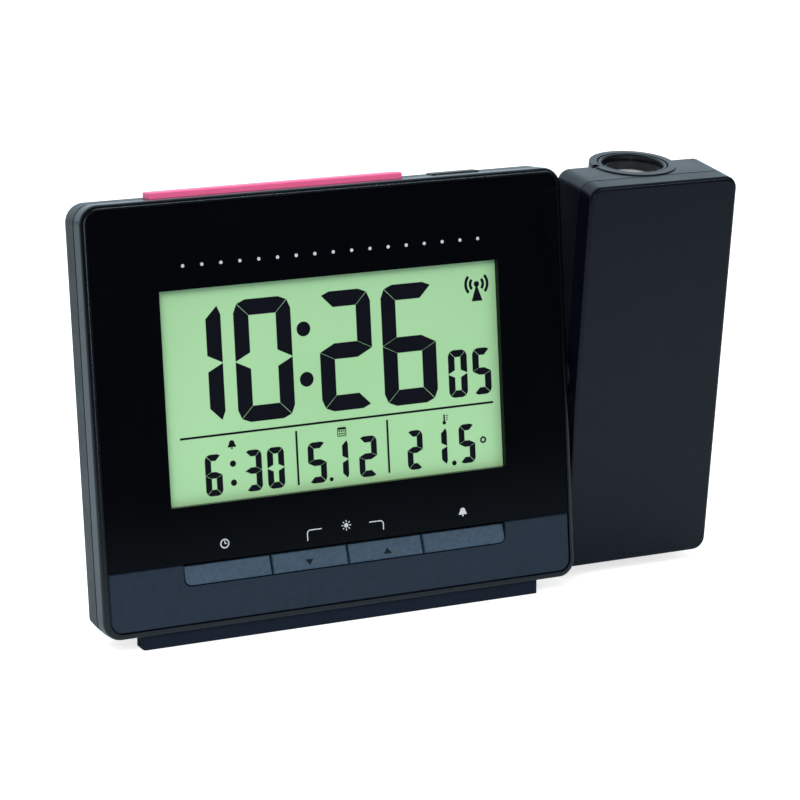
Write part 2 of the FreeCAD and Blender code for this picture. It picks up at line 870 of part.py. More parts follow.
def house_outline(inset, floor_thick, front):
    """Side view of the rear housing: level bottom, upright back, shoulder and sloping top, all inset."""
    run = (s.house_depth - s.house_top_depth) / (house_top - s.house_shoulder)
    stretch = root(1 + run * run)
    back = s.house_depth - inset
    low_front = s.bottom_rise + floor_thick + (front - s.slab_depth) * lean_slope
    low_back = s.bottom_rise + floor_thick + (back - s.slab_depth) * lean_slope
    shoulder = s.house_shoulder - inset * (stretch - 1) / run
    top = house_top - inset
    top_back = s.house_top_depth + run * inset - inset * stretch
    return polygon((front, low_front), (back, low_back), (back, shoulder), (top_back, top), (front, top))


def make_rear_case():
    body = new_body("rear_case")
    outline = rounded(-half_width, half_width, 0, s.case_height, s.case_corner)
    pad(body, "XZ", s.front_depth, s.slab_depth, outline)
    soften(body, "Fillet", s.rear_round, lies_at("Y", s.slab_depth))
    soften(body, "Chamfer", s.seam_chamfer, lies_at("Y", s.front_depth))
    pad(body, "YZ", -s.house_half, s.house_half, house_outline(sized(0), sized(0), s.slab_depth - past))

    def outer_edge(edge):
        middle = edge.BoundBox.Center
        if middle.y < float(s.slab_depth) + 0.1 or middle.z < float(s.bay_bottom):
            return False
        if edge.BoundBox.ZMax > float(s.house_shoulder) - NEAR:
            return True
        return abs(abs(middle.x) - float(s.house_half)) < NEAR

    soften(body, "Fillet", s.house_round, outer_edge)
    inner_corner = s.case_corner - s.case_wall
    hollow = rounded(-inner_half, inner_half, floor, ceiling, inner_corner)
    pocket(body, "XZ", s.front_depth - past, slab_inner, hollow)
    inside = s.house_half - s.case_wall
    pocket(body, "YZ", -inside, inside, house_outline(s.case_wall, s.house_floor, slab_inner - past))
    tub_half = bay_half + s.tub_wall
    tub = rectangle(-tub_half, tub_half, s.bay_bottom - s.tub_wall, bay_top + s.tub_wall)
    pad(body, "XZ", bay_front - s.tub_wall, door_inner - s.rest_gap, tub)
    bay = rectangle(-bay_half, bay_half, s.bay_bottom, bay_top)
    pocket(body, "XZ", bay_front, s.house_depth + past, bay)
    fit = s.door_fit
    rebate = rectangle(-door_half - fit, door_half + fit, door_bottom - fit, door_top + fit)
    pocket(body, "XZ", door_inner - s.rest_gap, s.house_depth + past, rebate)
    pin_reach = door_half + s.door_pin_length + s.rest_gap
    pocket(body, "YZ", -pin_reach, pin_reach, circle(*hinge_place, s.door_pin_radius + s.door_pin_fit))
    jack = circle(s.jack_across, s.jack_height, s.jack_nose_radius + s.jack_fit)
    pocket(body, "XZ", door_inner - past, s.house_depth + past, jack)
    for across, height in case_bosses:
        hole = circle(across, height, pilot + s.screw_fit)
        pocket(body, "XZ", slab_inner - past, s.slab_depth + past, hole)
        sink = circle(across, height, s.case_screw_head + s.panel_fit)
        pocket(body, "XZ", s.slab_depth - s.case_screw_sink, s.slab_depth + past, sink)
    bush_hole = circle(*pivot_place, s.bush_radius + s.panel_fit)
    pocket(body, "YZ", inner_half - past, half_width + past, bush_hole)
    play = s.key_play
    for left, length in ((s.snooze_left, s.snooze_length), (s.light_key_left, s.light_key_length)):
        back = s.top_key_front + s.top_key_depth + play
        front = s.top_key_front - play
        slot = rounded(left - play, left + length + play, front, back, s.top_key_corner + play)
        pocket(body, "XY", ceiling - past, s.case_height + past, slot)
    cut_below_slope(body, s.front_depth, s.slab_depth)
    for step in range(-2, 3):
        middle = s.sounder_across + step * s.sound_slot_step
        half = s.sound_slot_width / 2
        tall = s.sounder_radius
        slot = rectangle(middle - half, middle + half, s.sounder_height - tall, s.sounder_height + tall)
        pocket(body, "XZ", s.house_top_depth, s.house_depth + past, slot)
    meets = s.bottom_rise + s.house_floor / 2
    screw_depth = (s.base_screw_depth - meets * sine(s.lean_back)) / cosine(s.lean_back)
    for side in (-1, 1):
        pilot_hole = circle(side * s.base_screw_across, screw_depth, 2 * pilot - s.screw_radius + s.screw_fit)
        pocket(body, "XY", s.bottom_rise - past, s.bay_bottom - s.tub_wall, pilot_hole)
    return piece("rear_case", body, in_case)


def make_battery_door():
    """The battery door: its lower edge is round about its hinge, with a pin out of each end of that edge."""
    body = new_body("battery_door")
    pin_end = door_half + s.door_pin_length
    pad(body, "XZ", door_inner, s.house_depth, rectangle(-door_half, door_half, hinge_place[1], door_top))
    pad(body, "YZ", -door_half, door_half, circle(*hinge_place, s.door_thick / 2))
    pad(body, "YZ", -pin_end, pin_end, circle(*hinge_place, s.door_pin_radius))
    grip_half = s.door_grip_width / 2
    grip_top = door_top - s.door_grip_height
    grip = rounded(-grip_half, grip_half, grip_top - s.door_grip_height, grip_top, s.door_grip_corner)
    pocket(body, "XZ", s.house_depth - s.door_grip_depth, s.house_depth + past, grip)
    return piece("battery_door", body, in_case)


def make_batteries():
    """Two cells side by side in opposite directions, with a spring at each flat end."""
    depth = bay_front + s.cell_radius + s.cell_play / 2
    slack = s.contact_thick + s.rest_gap
    cells = []
    springs = []
    plates = []
    wall_to_axis = s.cell_radius + s.cell_play / 2
    for side, height in ((-1, s.bay_bottom + wall_to_axis), (1, bay_top - wall_to_axis)):
        nub_end = side * (bay_half - slack - s.rest_gap)
        shoulder = nub_end - side * s.cell_nub_length
        flat_end = nub_end - side * s.cell_length
        place = (depth, height)
        ends = (shoulder, flat_end) if side < 0 else (flat_end, shoulder)
        nub = (nub_end, shoulder) if side < 0 else (shoulder, nub_end)
        barrel = rod("X", place, ends[0], ends[1], s.cell_radius)
        cells.append(fuse(barrel, rod("X", place, nub[0], nub[1], s.cell_nub_radius)))
        plate_face = -side * (bay_half - slack)
        springs.append((plate_face, flat_end, height))
        for end in (-1, 1):
            outer = end * (bay_half - s.rest_gap)
            inner = end * (bay_half - slack)
            low, high = (outer, inner) if end < 0 else (inner, outer)
            reach = s.cell_radius - s.cell_play
            plates.append(block(low, high, depth - reach, depth + reach, height - reach, height + reach))
    piece("battery_cells", group(*cells), in_case)
    piece("battery_contacts", group(*plates), in_case)
    coils = []
    for face, flat_end, height in springs:
        coils.append(make_spring(face, flat_end, depth, height))
    piece("battery_springs", group(*coils), in_case)


def make_spring(face, flat_end, depth, height):
    """A coil spring along X between a contact plate and a cell's flat end."""
    start = min(face.value, flat_end.value) + s.spring_wire.value + 0.05
    length = abs(face.value - flat_end.value) - 2 * s.spring_wire.value - 0.1
    pitch = length / s.spring_turns.value
    path = Part.makeHelix(pitch, length, s.spring_radius.value)
    ring = Part.Circle(Vector(s.spring_radius.value, 0, 0), Vector(0, 1, 0), s.spring_wire.value)
    sweep = Part.Wire(path).makePipeShell([Part.Wire(ring.toShape())], True, True)
    sweep.Placement = Placement(Vector(start, depth.value, height.value), Rotation(AXES["Z"], AXES["X"]))
    spring = doc.addObject("Part::Feature", "spring")
    spring.Shape = sweep
    return spring


def make_jack():
    """The adapter socket: a block with a bored nose behind the rear wall, and the contact pin in the bore."""
    x, z = place = (s.jack_across, s.jack_height)
    mouth = s.house_depth - s.rest_gap
    back = s.house_depth - s.case_wall - s.rest_gap
    half = s.jack_body_half
    bore_end = mouth - s.jack_bore_length
    body = block(x - half, x + half, back - s.jack_body_length, back, z - half, z + half)
    nose = rod("Y", place, back - past, mouth, s.jack_nose_radius)
    bore = rod("Y", place, bore_end, mouth + past, s.jack_bore_radius)
    piece("power_jack", cut(fuse(body, nose), bore), in_case)
    piece("jack_pin", group(rod("Y", place, bore_end, mouth - s.jack_pin_recess, s.jack_pin_radius)), in_case)


def make_case_screws():
    screws = []
    head_bottom = s.slab_depth - s.case_screw_sink
    for across, height in case_bosses:
        head = rod("Y", (across, height), head_bottom, s.slab_depth - s.rest_gap, s.case_screw_head)
        shank = rod("Y", (across, height), s.front_depth + s.screw_clear, head_bottom + NEAR, s.screw_radius)
        screws.append(fuse(shank, head))
    return piece("case_screws", group(*screws), in_case)


def make_base():
    """The base: a straight front bar, sides drawn in behind it, and a top that meets the case's bottom."""
    slab_back_y = s.slab_depth * cosine(s.lean_back) + s.bottom_rise * sine(s.lean_back)
    slab_back_z = s.base_height + s.bottom_rise * cosine(s.lean_back) - s.slab_depth * sine(s.lean_back)
    front = s.base_setback
    back = s.base_setback + s.base_depth
    front_z = s.base_height + (slab_back_z - s.base_height) * front / slab_back_y
    body = new_body("base")
    seat_back = (slab_back_y, slab_back_z)
    side_view = polygon((front, 0), (back, 0), (back, slab_back_z), seat_back, (front, front_z))
    pad(body, "YZ", -s.base_half, s.base_half, side_view)
    bar_back = front + s.base_bar
    for side in (-1, 1):
        outer = side * (s.base_half + past)
        corner = polygon(
            (side * s.base_half, bar_back),
            (outer, bar_back),
            (outer, back + past),
            (side * s.base_rear_half, back + past),
            (side * s.base_rear_half, back),
        )
        pocket(body, "XY", -past, slab_back_z + past, corner)
    soften(body, "Fillet", s.base_round, runs_along("Z"))
    for across, y in pad_places():
        pocket(body, "XY", -past, s.pad_depth, circle(across, y, s.pad_radius + s.panel_fit))
    for side in (-1, 1):
        sink = circle(side * s.base_screw_across, s.base_screw_depth, s.case_screw_head + s.panel_fit)
        pocket(body, "XY", -past, s.base_height, sink)
        hole = circle(side * s.base_screw_across, s.base_screw_depth, pilot + s.screw_fit)
        pocket(body, "XY", 0, slab_back_z + past, hole)
    piece("base", body, on_base)

    pads = [rod("Z", place, 0, s.pad_depth - s.rest_gap, s.pad_radius) for place in pad_places()]
    piece("rubber_pads", group(*pads), on_base)

    screws = []
    for side in (-1, 1):
        place = (side * s.base_screw_across, s.base_screw_depth)
        head_top = s.base_height - s.rest_gap
        head = rod("Z", place, s.base_height - s.screw_head_thick, head_top, s.case_screw_head)
        shank_top = slab_back_z + s.screw_clear
        shank = rod("Z", place, head_top - NEAR, shank_top, s.screw_radius)
        screws.append(fuse(head, shank))
    piece("base_screws", group(*screws), on_base)


def pad_places():
    """Centres of the four rubber pads, in the base's frame."""
    front = s.base_setback + s.pad_inset
    back = s.base_setback + s.base_depth - s.pad_inset
    wide = s.base_half - 2 * s.pad_inset
    narrow = s.base_rear_half - s.pad_inset
    return [(-wide, front), (wide, front), (-narrow, back), (narrow, back)]


# The arm. Its pivot runs through the case's side wall, between the two halves of the case.

arm_left = half_width + s.arm_gap
arm_right = arm_left + s.arm_width
arm_middle = (arm_left + arm_right) / 2
arm_front = -s.arm_front
arm_back = s.arm_depth - s.arm_front
arm_seam = s.arm_seam - s.arm_front
lens_y = s.lens_setback - s.arm_front
lens_x = arm_middle + s.lens_across
lens_place = (lens_x, lens_y)
barrel_top = arm_half + s.barrel_rim
barrel_bottom = arm_half - s.barrel_length
cavity_bottom = barrel_bottom + s.barrel_floor
neck_bottom = arm_half - s.barrel_neck
arm_posts = [
    (arm_middle + side * s.arm_screw_across, along * arm_screw_along)
    for side in (-1, 1)
    for along in (-1, 1)
]


def make_pivot():
    """The bush in the case's wall, the hollow shaft that turns in it, its clip inside and washer outside."""
    bush_start = inner_half - s.bush_reach
    bush_end = half_width + s.bush_flange_thick
    bore = s.pivot_radius + s.pivot_running_fit
    sleeve = rod("X", pivot_place, bush_start, half_width + NEAR, s.bush_radius)
    flange = rod("X", pivot_place, half_width + NEAR, bush_end, s.bush_flange_radius)
    hole = rod("X", pivot_place, bush_start - past, bush_end + past, bore)
    piece("pivot_bush", cut(fuse(sleeve, flange), hole), in_case)

    centre = (0, 0)
    washer_start = bush_end + s.rest_gap
    washer_end = washer_start + s.washer_thick
    piece("friction_washer", tube("X", centre, washer_start, washer_end, s.bush_flange_radius, bore), in_arm)

    neck_end = bush_start - s.rest_gap
    clip_start = neck_end - s.clip_ring_thick
    neck_start = clip_start - s.rest_gap
    shaft_start = neck_start - s.clip_ring_thick
    flange_start = arm_left + s.arm_wall + s.rest_gap
    flange_end = flange_start + s.pivot_flange_thick
    shaft = rod("X", centre, neck_end, flange_start + NEAR, s.pivot_radius)
    neck = rod("X", centre, neck_start, neck_end + NEAR, s.pivot_neck_radius)
    tip = rod("X", centre, shaft_start, neck_start + NEAR, s.pivot_radius)
    plate = rod("X", centre, flange_start, flange_end, s.pivot_flange_radius)
    cable_way = rod("X", centre, shaft_start - past, flange_end + past, s.pivot_bore)
    piece("pivot_shaft", cut(fuse(shaft, neck, tip, plate), cable_way), in_arm)

    ring = tube("X", centre, clip_start, neck_end, s.clip_ring_radius, s.pivot_neck_radius + NEAR)
    half = s.pivot_neck_radius * 0.8
    mouth = block(clip_start - past, neck_end + past, -half, half, 0, s.clip_ring_radius + past)
    piece("pivot_clip", cut(ring, mouth), in_arm)


def make_arm_front():
    body = new_body("arm_front")
    outline = rounded(arm_left, arm_right, -arm_half, arm_half, s.arm_corner)
    pad(body, "XZ", arm_front, arm_seam, outline)
    soften(body, "Fillet", s.arm_edge_round, lies_at("Y", arm_front))
    pocket(body, "XZ", arm_front + s.arm_wall, arm_seam + past, arm_hollow())
    for across, along in arm_posts:
        post = circle(across, along, s.arm_post_radius)
        pad(body, "XZ", arm_front + s.arm_wall - NEAR, arm_back - s.arm_wall - s.rest_gap, post)
        pocket(body, "XZ", arm_front + s.arm_wall, arm_back, circle(across, along, pilot))
    shaft_hole = circle(0, 0, s.pivot_radius + s.pivot_running_fit)
    pocket(body, "YZ", arm_left - past, arm_left + s.arm_wall + past, shaft_hole)
    piece("arm_front", body, in_arm)


def arm_hollow():
    wall = s.arm_wall
    reach = arm_half - wall
    return rounded(arm_left + wall, arm_right - wall, -reach, reach, s.arm_corner - wall)


def make_arm_rear():
    """The arm's back half, with the lens barrel that stands out of its back and rises through its top."""
    body = new_body("arm_rear")
    outline = rounded(arm_left, arm_right, -arm_half, arm_half, s.arm_corner)
    pad(body, "XZ", arm_seam, arm_back, outline)
    soften(body, "Fillet", s.arm_back_round, lies_at("Y", arm_back))
    pocket(body, "XZ", arm_seam - past, arm_back - s.arm_wall, arm_hollow())
    pad(body, "XY", barrel_bottom, barrel_top, circle(*lens_place, s.barrel_radius))

    def rear_foot(edge):
        return lies_at("Z", barrel_bottom)(edge) and edge.BoundBox.YMax > float(arm_back) + past

    soften(body, "Fillet", s.barrel_rim_round, lies_at("Z", barrel_top))
    soften(body, "Fillet", s.barrel_foot_round, rear_foot)
    pocket(body, "XY", cavity_bottom, neck_bottom, circle(*lens_place, s.barrel_cavity))
    neck = circle(*lens_place, s.focus_outer + s.focus_running_fit)
    pocket(body, "XY", neck_bottom - past, barrel_top + past, neck)
    mark_x = lens_x - s.barrel_radius + s.barrel_mark_wide
    half = s.barrel_mark_long / 2
    mark = rectangle(lens_x - s.barrel_radius - past, mark_x, lens_y - half, lens_y + half)
    pocket(body, "XY", barrel_top - s.barrel_mark_deep, barrel_top + past, mark)
    for across, along in arm_posts:
        hole = circle(across, along, pilot + s.screw_fit)
        pocket(body, "XZ", arm_back - s.arm_wall - past, arm_back + past, hole)
        sink = circle(across, along, s.case_screw_head + s.panel_fit)
        pocket(body, "XZ", arm_back - s.case_screw_sink, arm_back + past, sink)
    shaft_hole = circle(0, 0, s.pivot_radius + s.pivot_running_fit)
    pocket(body, "YZ", arm_left - past, arm_left + s.arm_wall + past, shaft_hole)
    piece("arm_rear", body, in_arm)

    screws = []
    head_front = arm_back - s.case_screw_sink
    for across, along in arm_posts:
        head = rod("Y", (across, along), head_front, arm_back - s.rest_gap, s.case_screw_head)
        shank = rod("Y", (across, along), arm_seam, head_front + NEAR, s.screw_radius)
        screws.append(fuse(head, shank))
    piece("arm_screws", group(*screws), in_arm)


def make_focus():
    """The focus ring in the barrel's neck, and the lens cell that climbs inside it."""
    top = barrel_top - s.rest_gap
    bottom = neck_bottom - s.rest_gap - s.focus_lip_thick
    body = new_body("focus_ring")
    pad(body, "XY", bottom, top, circle(*lens_place, s.focus_outer))
    pad(body, "XY", bottom, bottom + s.focus_lip_thick, circle(*lens_place, s.focus_outer + s.focus_lip))
    pocket(body, "XY", bottom - past, top + past, circle(*lens_place, s.focus_inner))
    soften(body, "Chamfer", s.key_round, lies_at("Z", top))
    mark_x = lens_x - (s.focus_outer + s.focus_inner) / 2
    pocket(body, "XY", top - s.focus_mark, top + past, circle(mark_x, lens_y, s.focus_mark / 2))
    piece("focus_ring", body, in_arm)

    cell_top = arm_half - s.cell_top_drop
    cell_bottom = cell_top - s.cell_height
    cell_outer = s.focus_inner - s.focus_running_fit
    lens_bottom = cell_top - s.cell_wall - s.lens_bulge - s.lens_edge
    body = new_body("lens_cell")
    pad(body, "XY", cell_bottom, cell_top, circle(*lens_place, cell_outer))
    pocket(body, "XY", cell_bottom - past, cell_top + past, circle(*lens_place, s.lens_radius - s.cell_wall))
    pocket(body, "XY", lens_bottom, cell_top + past, circle(*lens_place, s.lens_radius + NEAR))
    piece("lens_cell", body, in_arm)
    make_lens("projector_lens", lens_bottom, s.lens_radius, s.lens_edge, s.lens_bulge)


def make_lens(label, bottom, radius, edge, bulge):
    """A lens with a flat foot, an upright edge and a domed top."""
    body = new_body(f"{label}_edge")
    dome = (radius * radius + bulge * bulge) / (2 * bulge)
    pad(body, "XY", bottom, bottom + edge, circle(*lens_place, radius))
    doc.recompute()
    ball = doc.addObject("Part::Sphere", "dome")
    bind(ball, "Radius", dome)
    bind(ball, "Placement.Base.x", lens_x)
    bind(ball, "Placement.Base.y", lens_y)
    bind(ball, "Placement.Base.z", bottom + edge + bulge - dome)
    limit = rod("Z", lens_place, bottom + edge - NEAR, bottom + edge + bulge + past, radius)
    cap = doc.addObject("Part::Common", "cap")
    cap.Base = ball
    cap.Tool = limit
    piece(label, fuse(body, cap), in_arm)


def make_lamp():
    """The lamp on its small board at the barrel's foot, and the tube with the condenser and the slide."""
    mount_bottom = cavity_bottom + s.rest_gap
    mount_top = mount_bottom + s.lamp_board_thick
    lamp_board = rod("Z", lens_place, mount_bottom, mount_top, s.lamp_board_radius)
    piece("lamp_board", group(lamp_board), in_arm)
    stem_top = mount_top + s.lamp_height - s.lamp_radius
    dome = doc.addObject("Part::Sphere", "dome")
    bind(dome, "Radius", s.lamp_radius)
    bind(dome, "Placement.Base.x", lens_x)
    bind(dome, "Placement.Base.y", lens_y)
    bind(dome, "Placement.Base.z", stem_top)
    piece("projector_lamp", fuse(rod("Z", lens_place, mount_top, stem_top, s.lamp_radius), dome), in_arm)
    tube_bottom = mount_top + s.rest_gap
    holder = tube("Z", lens_place, tube_bottom, tube_bottom + s.optics_height, s.optics_outer, s.optics_inner)
    ledge_top = tube_bottom + s.condenser_start - s.rest_gap
    ledge_inner = s.optics_inner - s.condenser_ledge
    ledge_bottom = ledge_top - s.condenser_ledge
    ledge = tube("Z", lens_place, ledge_bottom, ledge_top, s.optics_inner + NEAR, ledge_inner)
    piece("optics_tube", fuse(holder, ledge), in_arm)
    lens_bottom = tube_bottom + s.condenser_start
    lens_radius = s.optics_inner - s.rest_gap
    make_lens("condenser_lens", lens_bottom, lens_radius, s.condenser_edge, s.condenser_bulge)
    slide_bottom = tube_bottom + s.slide_start
    x, y = lens_place
    half = s.slide_half
    slide = block(x - half, x + half, y - half, y + half, slide_bottom, slide_bottom + s.slide_thick)
    piece("slide_display", group(slide), in_arm)


def build():
    make_front_case()
    make_front_panel()
    make_control_strip()
    centres = make_keys()
    make_key_switches(centres)
    make_top_key("snooze_bar", s.snooze_left, s.snooze_length, s.snooze_proud, s.snooze_travel)
    make_top_key("light_key", s.light_key_left, s.light_key_length, s.light_key_proud, s.light_key_travel)
    make_top_switches()
    make_display()
    make_main_board()
    make_aerial()
    make_rear_case()
    make_battery_door()
    make_batteries()
    make_jack()
    make_case_screws()
    make_base()
    make_pivot()
    make_arm_front()
    make_arm_rear()
    make_focus()
    make_lamp()


def check():
    """Stops if anything failed to rebuild or a piece isn't a sound solid."""
    doc.recompute()
    for thing in doc.Objects:
        if "Invalid" in thing.State or "Error" in thing.State:
            raise RuntimeError(f"{thing.Label} of {thing.TypeId} didn't rebuild: {thing.State}")
    for thing in pieces:
        if thing.Shape.isNull() or not thing.Shape.isValid() or not thing.Shape.Solids:
            raise RuntimeError(f"{thing.Label} isn't a sound solid")


def write():
    os.makedirs(PARTS_FOLDER, exist_ok=True)
    for thing in pieces:
        thing.Shape.exportStep(f"{PARTS_FOLDER}/{thing.Label}.step")
    print(len(pieces), "pieces written")


build()
check()
write()
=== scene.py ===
import math

import bmesh
import bpy
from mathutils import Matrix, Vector


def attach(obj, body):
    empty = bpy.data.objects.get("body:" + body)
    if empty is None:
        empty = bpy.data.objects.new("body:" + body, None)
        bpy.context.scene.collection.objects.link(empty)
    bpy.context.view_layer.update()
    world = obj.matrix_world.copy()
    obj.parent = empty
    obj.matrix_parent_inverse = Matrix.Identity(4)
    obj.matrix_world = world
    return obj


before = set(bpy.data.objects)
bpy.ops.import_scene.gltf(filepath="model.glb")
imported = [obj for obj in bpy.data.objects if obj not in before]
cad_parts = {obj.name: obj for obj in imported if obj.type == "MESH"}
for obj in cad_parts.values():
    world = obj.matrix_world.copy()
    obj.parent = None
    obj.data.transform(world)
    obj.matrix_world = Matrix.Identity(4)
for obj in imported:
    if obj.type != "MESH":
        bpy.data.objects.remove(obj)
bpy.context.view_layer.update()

# Lengths are in millimetres, as in the part's source. Points on the case are given as x across, w into
# the case from its front plane, and v up its face, which leans back.
MM = 0.001
LEAN_BACK = math.radians(6.1)
BASE_HEIGHT = 3.6
CASE_Y = -20.57


def case_point(x, w, v):
    """A point of the case in the part's frame, in metres."""
    y = CASE_Y + v * math.sin(LEAN_BACK) + w * math.cos(LEAN_BACK)
    z = BASE_HEIGHT + v * math.cos(LEAN_BACK) - w * math.sin(LEAN_BACK)
    return Vector((x, y, z)) * MM


# Materials.


class Tree:
    """A node tree, with short ways to add and feed nodes."""

    def __init__(self, tree):
        self.tree = tree

    def feed(self, socket, value):
        """Links the value to the socket if it is a node's output, and sets it there otherwise."""
        if isinstance(value, bpy.types.NodeSocket):
            self.tree.links.new(value, socket)
        else:
            socket.default_value = value

    def add(self, kind, feeds=None, **settings):
        """A new node with these settings, then with these values or outputs in its sockets."""
        node = self.tree.nodes.new(kind)
        for key, value in settings.items():
            setattr(node, key, value)
        for key, value in (feeds or {}).items():
            self.feed(node.inputs[key], value)
        return node

    def number(self, operation, first, second):
        """The two numbers put together by a Math node."""
        return self.add("ShaderNodeMath", {0: first, 1: second}, operation=operation).outputs[0]

    def between(self, factor, low, high, start=0.3, end=0.7):
        """A number that runs from low to high as the factor runs from start to end."""
        ends = {"From Min": start, "From Max": end, "To Min": low, "To Max": high}
        return self.add("ShaderNodeMapRange", {**ends, "Value": factor}).outputs["Result"]

    def mix(self, factor, first, second):
        """The first colour where the factor is 0, and the second where it is 1."""
        feeds = {"Factor": factor, "A": first, "B": second}
        return self.add("ShaderNodeMix", feeds, data_type="RGBA").outputs["Result"]

    def colours(self, factor, low, high):
        """A colour that changes over the factor between two stops of (position, rgb)."""
        node = self.add("ShaderNodeValToRGB", {"Fac": factor})
        for element, (position, rgb) in zip(node.color_ramp.elements, (low, high)):
            element.position = position
            element.color = (*rgb, 1)
        return node.outputs["Color"]


class Finish(Tree):
    """A new material's node tree, with its shader and the object's own coordinates."""

    def __init__(self, name):
        self.material = bpy.data.materials.new(name)
        self.material.use_nodes = True
        super().__init__(self.material.node_tree)
        self.shader = self.tree.nodes["Principled BSDF"]
        self.place = self.add("ShaderNodeTexCoord").outputs["Object"]

    def noise(self, size_mm, detail=3.0, rough=0.5, stretch=None):
        """Noise whose grains are about size_mm across."""
        place = self.place
        if stretch:
            place = self.add("ShaderNodeMapping", {"Scale": stretch, "Vector": place}).outputs["Vector"]
        feeds = {"Scale": 1 / (size_mm * MM), "Detail": detail, "Roughness": rough, "Vector": place}
        return self.add("ShaderNodeTexNoise", feeds).outputs["Fac"]

    def bump(self, height, strength, distance_mm):
        """Relief of the surface by the height, up to that distance."""
        feeds = {"Strength": strength, "Distance": distance_mm * MM, "Height": height}
        self.set(Normal=self.add("ShaderNodeBump", feeds).outputs["Normal"])

    def set(self, **values):
        """Gives the shader's sockets these values or outputs."""
        for key, value in values.items():
            self.feed(self.shader.inputs[key.replace("_", " ")], value)


def tone(r, g, b):
    """A colour written as it looks on a screen, from 0 to 255, as linear light."""
    return tuple(((c / 255 + 0.055) / 1.055) ** 2.4 if c > 10 else c / 255 / 12.92 for c in (r, g, b))


def shade(rgb, amount):
    """The colour made lighter or darker by that factor."""
    return tuple(min(1.0, c * amount) for c in rgb)


def moulded(name, rgb, rough, level, grain=0.35, depth=0.02, vary=0.10, patch=9.0):
    """Moulded plastic: a fine spark-eroded grain, and slight clouds in its colour and gloss.

    grain and patch are the sizes of the grains and clouds, depth is the grains' height, and vary says
    how far the colour goes each way.
    """
    cloud_gloss, grain_gloss = 0.04, 0.05
    n = Finish(name)
    cloud = n.noise(patch, detail=4.0)
    fine = n.noise(grain, detail=2.0, rough=0.6)
    clouds = n.between(cloud, -cloud_gloss, cloud_gloss)
    grains = n.between(fine, rough - grain_gloss, rough + grain_gloss)
    n.set(
        Base_Color=n.colours(cloud, (0.3, shade(rgb, 1 - vary)), (0.7, shade(rgb, 1 + vary))),
        Roughness=n.number("ADD", clouds, grains),
        Specular_IOR_Level=level,
    )
    n.bump(fine, strength=0.35, distance_mm=depth)
    return n.material


def glossy(name, rgb, rough, level):
    """Polished plastic with faint smudges in its gloss and a slight wave."""
    smudge = 0.04
    n = Finish(name)
    smear = n.noise(14.0, detail=5.0, rough=0.6, stretch=(1, 1, 0.35))
    n.set(
        Base_Color=n.colours(smear, (0.35, rgb), (0.75, shade(rgb, 1.25))),
        Roughness=n.between(smear, rough, rough + smudge),
        Specular_IOR_Level=level,
    )
    n.bump(n.noise(30.0, detail=1.0), strength=0.05, distance_mm=0.02)
    return n.material


def metal(name, rgb, stretch=None):
    """Plated or turned metal with fine marks."""
    smooth, dull = 0.22, 0.42
    n = Finish(name)
    marks = n.noise(0.3, rough=0.6, stretch=stretch)
    n.set(
        Base_Color=n.colours(marks, (0.3, shade(rgb, 0.85)), (0.7, rgb)),
        Roughness=n.between(marks, smooth, dull),
        Metallic=1.0,
    )
    n.bump(marks, strength=0.2, distance_mm=0.01)
    return n.material


def clear(name, rgb, rough=0.02, ior=1.49, transmission=1.0, **coat):
    """Clear glass or resin with faint haze, and with a coat where its values are given."""
    haze_gloss = 0.03
    n = Finish(name)
    haze = n.between(n.noise(2.0), rough, rough + haze_gloss)
    n.set(Base_Color=(*rgb, 1), Roughness=haze, IOR=ior, Transmission_Weight=transmission, **coat)
    return n.material


def lcd_surface():
    """The display's film: pale green and faintly cloudy, with a very fine grain."""
    n = Finish("lcd_film")
    cloud = n.noise(40.0, detail=2.0)
    fine = n.noise(0.25, detail=2.0)
    n.set(
        Base_Color=n.colours(cloud, (0.25, tone(169, 216, 160)), (0.75, tone(177, 222, 168))),
        Roughness=n.between(fine, 0.5, 0.6),
        Specular_IOR_Level=0.25,
    )
    n.bump(fine, strength=0.1, distance_mm=0.005)
    return n.material


